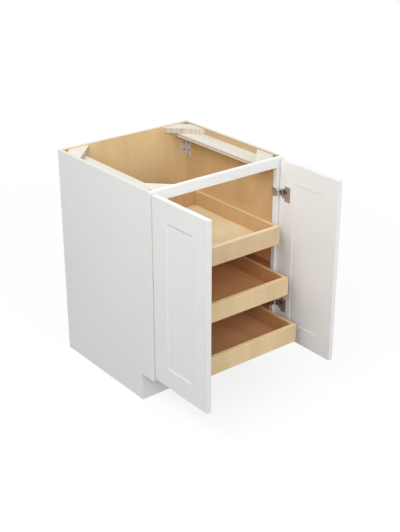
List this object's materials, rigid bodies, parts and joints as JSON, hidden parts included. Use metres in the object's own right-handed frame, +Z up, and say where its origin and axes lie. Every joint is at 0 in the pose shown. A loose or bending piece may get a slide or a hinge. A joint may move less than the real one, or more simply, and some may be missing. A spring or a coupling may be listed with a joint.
{
  "type": "kitchen base cabinet with rollout trays",
  "caption": "White face-frame kitchen base cabinet with an open braced top, shaker doors on cup hinges and birch rollout trays on slides inside.",
  "frame": {"origin": "on the floor, at the middle of the back panel's rear face", "axes": "+X to the right seen from the front, +Y to the back and the wall, +Z up"},
  "size_m": [0.635, 0.9224, 0.8763],
  "materials": {
    "white_paint": "satin white paint on wood",
    "birch": "clear varnished golden birch plywood",
    "pale_ply": "bare pale plywood with its plies showing on the edges",
    "zinc": "zinc-plated sheet steel",
    "nickel": "nickel-plated pressed steel",
    "dark_plastic": "dark moulded plastic"
  },
  "bodies": {
    "case": {"left_side_panel": "white_paint", "right_side_panel": "white_paint", "back_panel": "birch", "cabinet_floor": "birch", "toe_kick_board": "white_paint", "left_frame_stile": "white_paint", "right_frame_stile": "white_paint", "top_frame_rail": "white_paint", "bottom_frame_rail": "white_paint", "left_top_rail": "pale_ply", "right_top_rail": "pale_ply", "corner_braces": "pale_ply", "brace_nails": "zinc", "corner_brackets": "zinc", "bracket_screws": "zinc", "slide_cleats": "birch", "cabinet_slide_members": "zinc", "cabinet_slide_screws": "zinc", "hinge_arms": "nickel", "hinge_pins": "nickel", "hinge_plate_screws": "nickel"},
    "left_door": {"left_door_hinge_stile": "white_paint", "left_door_free_stile": "white_paint", "left_door_top_rail": "white_paint", "left_door_bottom_rail": "white_paint", "left_door_panel": "white_paint", "left_hinge_cups": "nickel", "left_cup_screws": "nickel"},
    "right_door": {"right_door_hinge_stile": "white_paint", "right_door_free_stile": "white_paint", "right_door_top_rail": "white_paint", "right_door_bottom_rail": "white_paint", "right_door_panel": "white_paint", "right_hinge_cups": "nickel", "right_cup_screws": "nickel"},
    "bottom_carrier": {"bottom_slide_intermediate_members": "zinc"},
    "bottom_tray": {"bottom_tray_front": "birch", "bottom_tray_back": "birch", "bottom_tray_sides": "birch", "bottom_tray_floor": "birch", "bottom_tray_screws": "zinc", "bottom_slide_drawer_members": "zinc"},
    "bottom_levers": {"bottom_slide_levers": "dark_plastic"},
    "middle_carrier": {"middle_slide_intermediate_members": "zinc"},
    "middle_tray": {"middle_tray_front": "birch", "middle_tray_back": "birch", "middle_tray_sides": "birch", "middle_tray_floor": "birch", "middle_tray_screws": "zinc", "middle_slide_drawer_members": "zinc"},
    "middle_levers": {"middle_slide_levers": "dark_plastic"},
    "top_carrier": {"top_slide_intermediate_members": "zinc"},
    "top_tray": {"top_tray_front": "birch", "top_tray_back": "birch", "top_tray_sides": "birch", "top_tray_floor": "birch", "top_tray_screws": "zinc", "top_slide_drawer_members": "zinc"},
    "top_levers": {"top_slide_levers": "dark_plastic"}
  },
  "joints": [
    {"name": "right_door_hinge", "type": "hinge", "parent": "case", "child": "right_door", "pos_m": [0.303, -0.6209, 0.49885], "axis": [0, 0, 1], "range_deg": [-90, 15]},
    {"name": "left_door_hinge", "type": "hinge", "parent": "case", "child": "left_door", "pos_m": [-0.303, -0.6209, 0.49885], "axis": [0, 0, -1], "range_deg": [-90, 15]},
    {"name": "bottom_carrier_slide", "type": "slide", "parent": "case", "child": "bottom_carrier", "axis": [0, -1, 0], "range_m": [-0.2525, 0.0425]},
    {"name": "bottom_tray_slide", "type": "slide", "parent": "bottom_carrier", "child": "bottom_tray", "axis": [0, -1, 0], "range_m": [0, 0.26]},
    {"name": "bottom_lever_pivot", "type": "hinge", "parent": "bottom_tray", "child": "bottom_levers", "pos_m": [0, -0.6846, 0.215], "axis": [1, 0, 0], "range_deg": [-8, 8], "stiffness_Nm_per_rad": 0.05},
    {"name": "middle_carrier_slide", "type": "slide", "parent": "case", "child": "middle_carrier", "axis": [0, -1, 0], "range_m": [-0.1975, 0.0333]},
    {"name": "middle_tray_slide", "type": "slide", "parent": "middle_carrier", "child": "middle_tray", "axis": [0, -1, 0], "range_m": [0, 0.26]},
    {"name": "middle_lever_pivot", "type": "hinge", "parent": "middle_tray", "child": "middle_levers", "pos_m": [0, -0.6296, 0.3975], "axis": [1, 0, 0], "range_deg": [-8, 8], "stiffness_Nm_per_rad": 0.05},
    {"name": "top_carrier_slide", "type": "slide", "parent": "case", "child": "top_carrier", "axis": [0, -1, 0], "range_m": [-0.1395, 0.0237]},
    {"name": "top_tray_slide", "type": "slide", "parent": "top_carrier", "child": "top_tray", "axis": [0, -1, 0], "range_m": [0, 0.26]},
    {"name": "top_lever_pivot", "type": "hinge", "parent": "top_tray", "child": "top_levers", "pos_m": [0, -0.5716, 0.5925], "axis": [1, 0, 0], "range_deg": [-8, 8], "stiffness_Nm_per_rad": 0.05}
  ],
  "couplings": [
    {"joint": "left_door_hinge", "follows": "right_door_hinge", "ratio": 1},
    {"joint": "bottom_carrier_slide", "follows": "right_door_hinge", "m_per_rad": 0.16043},
    {"joint": "middle_carrier_slide", "follows": "right_door_hinge", "m_per_rad": 0.12541},
    {"joint": "top_carrier_slide", "follows": "right_door_hinge", "m_per_rad": 0.08849}
  ]
}
